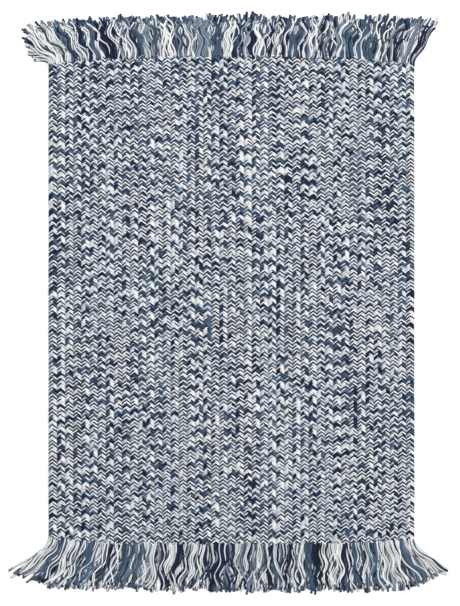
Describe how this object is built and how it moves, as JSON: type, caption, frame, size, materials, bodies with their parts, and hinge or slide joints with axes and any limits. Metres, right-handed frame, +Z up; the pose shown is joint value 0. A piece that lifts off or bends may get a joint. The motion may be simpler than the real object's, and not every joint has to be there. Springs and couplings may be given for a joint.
{
  "type": "braided rug",
  "caption": "Flat rectangular rug of parallel braids sewn edge to edge, with a loose yarn fringe at both ends.",
  "frame": {"origin": "middle of the whole outline, on the floor under the rug", "axes": "+Y along the braids to the fringe at the head of the rug, +X across the braids, +Z up from the floor"},
  "size_m": [0.7404, 0.9808, 0.0084],
  "materials": {
    "braid_yarn": "matte spun yarn in off-white, navy and grey-blue, braided",
    "fringe_yarn": "matte loose spun yarn in off-white, navy and grey-blue"
  },
  "bodies": {
    "root": {"braid_01": "braid_yarn", "braid_02": "braid_yarn", "braid_03": "braid_yarn", "braid_04": "braid_yarn", "braid_05": "braid_yarn", "braid_06": "braid_yarn", "braid_07": "braid_yarn", "braid_08": "braid_yarn", "braid_09": "braid_yarn", "braid_10": "braid_yarn", "braid_11": "braid_yarn", "braid_12": "braid_yarn", "braid_13": "braid_yarn", "braid_14": "braid_yarn", "braid_15": "braid_yarn", "braid_16": "braid_yarn", "braid_17": "braid_yarn", "braid_18": "braid_yarn", "braid_19": "braid_yarn", "braid_20": "braid_yarn", "braid_21": "braid_yarn", "braid_22": "braid_yarn", "braid_23": "braid_yarn", "braid_24": "braid_yarn", "braid_25": "braid_yarn", "braid_26": "braid_yarn", "braid_27": "braid_yarn", "braid_28": "braid_yarn", "braid_29": "braid_yarn", "braid_30": "braid_yarn", "braid_31": "braid_yarn", "braid_32": "braid_yarn", "braid_33": "braid_yarn", "braid_34": "braid_yarn", "braid_35": "braid_yarn", "braid_36": "braid_yarn", "braid_37": "braid_yarn", "braid_38": "braid_yarn", "braid_39": "braid_yarn", "braid_40": "braid_yarn", "braid_41": "braid_yarn", "braid_42": "braid_yarn", "braid_43": "braid_yarn", "braid_44": "braid_yarn", "braid_45": "braid_yarn", "fringe_top": "fringe_yarn", "fringe_bottom": "fringe_yarn"}
  },
  "joints": []
}
